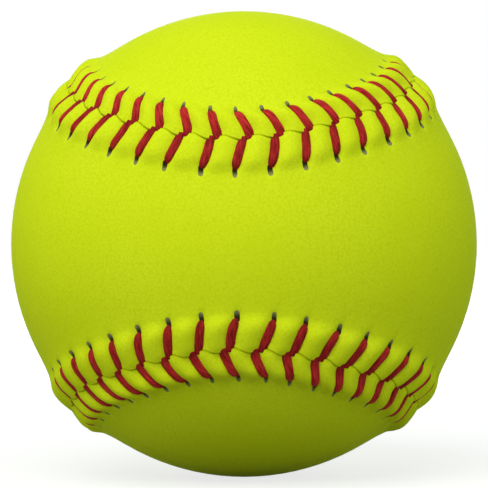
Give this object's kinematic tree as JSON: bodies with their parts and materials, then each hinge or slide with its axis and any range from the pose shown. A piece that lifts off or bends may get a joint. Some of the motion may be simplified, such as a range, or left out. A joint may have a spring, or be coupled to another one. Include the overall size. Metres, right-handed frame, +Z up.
{
  "type": "softball",
  "caption": "Stitched softball: a moulded core covered by interlocking figure-eight leather panels, laced along a raised seam.",
  "frame": {"origin": "the ball's centre", "axes": "+Z up and -Y towards the waist of the front panel, as the picture shows the ball; +X to the right"},
  "size_m": [0.097, 0.097, 0.097],
  "materials": {
    "core_foam": "moulded polyurethane foam, satin",
    "cover_leather": "optic yellow, smooth coated leather with fine grain",
    "lacing": "waxed crimson thread"
  },
  "bodies": {
    "root": {"core": "core_foam", "cover_panel_front": "cover_leather", "cover_panel_back": "cover_leather", "thread_one": "lacing", "thread_two": "lacing"}
  },
  "joints": []
}
